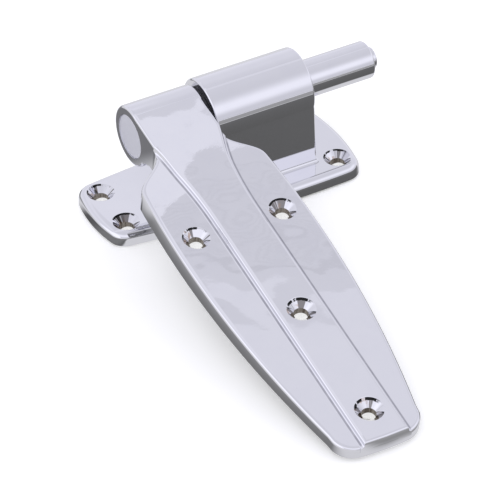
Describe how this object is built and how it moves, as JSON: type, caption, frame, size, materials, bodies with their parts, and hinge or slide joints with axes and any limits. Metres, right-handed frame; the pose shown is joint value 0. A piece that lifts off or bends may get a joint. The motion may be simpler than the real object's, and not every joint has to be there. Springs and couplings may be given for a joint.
{
  "type": "spring-loaded offset hinge",
  "caption": "Spring-loaded offset hinge with a long flared strap, a cam-lifted knuckle, a spring tube on the pin axis and a mounting flange with countersunk screw holes.",
  "frame": {"origin": "back face of the mounting flange, below the pin axis, beside the barrel's knuckle end", "axes": "+X along the pin towards the spring tube, -Y from the pin axis towards the strap's toe, +Z out of the mounting flange"},
  "size_m": [0.1613, 0.2517, 0.0648],
  "materials": {
    "chrome": "polished chrome plating",
    "satin_chrome": "satin",
    "cam_metal": "dark sintered steel",
    "steel": "machined",
    "spring_steel": "oil tempered",
    "bronze": "sintered"
  },
  "bodies": {
    "flange_side": {"flange": "chrome", "barrel_bushing": "bronze", "lower_cam": "cam_metal", "lower_cam_key": "steel", "spring_tube": "chrome", "tube_set_screw": "steel", "tube_plug": "chrome", "plug_pin": "steel", "thrust_washer": "bronze", "torsion_spring": "spring_steel"},
    "driver": {"spring_driver": "steel"},
    "strap_side": {"strap": "chrome", "upper_cam": "cam_metal", "upper_cam_key": "steel", "spindle": "steel", "drive_pin": "steel", "end_plug": "satin_chrome"}
  },
  "joints": [
    {"name": "strap_swing", "type": "hinge", "parent": "flange_side", "child": "driver", "pos_m": [0, 0, 0.0466], "axis": [-1, 0, 0], "range_deg": [0, 191], "stiffness_Nm_per_rad": 1.2, "springref_deg": -34.38, "deforming": ["torsion_spring"]},
    {"name": "cam_lift", "type": "slide", "parent": "driver", "child": "strap_side", "axis": [-1, 0, 0], "range_m": [0, 0.00956]}
  ],
  "couplings": [
    {"joint": "cam_lift", "follows": "strap_swing", "m_per_rad": 0.0028648}
  ]
}
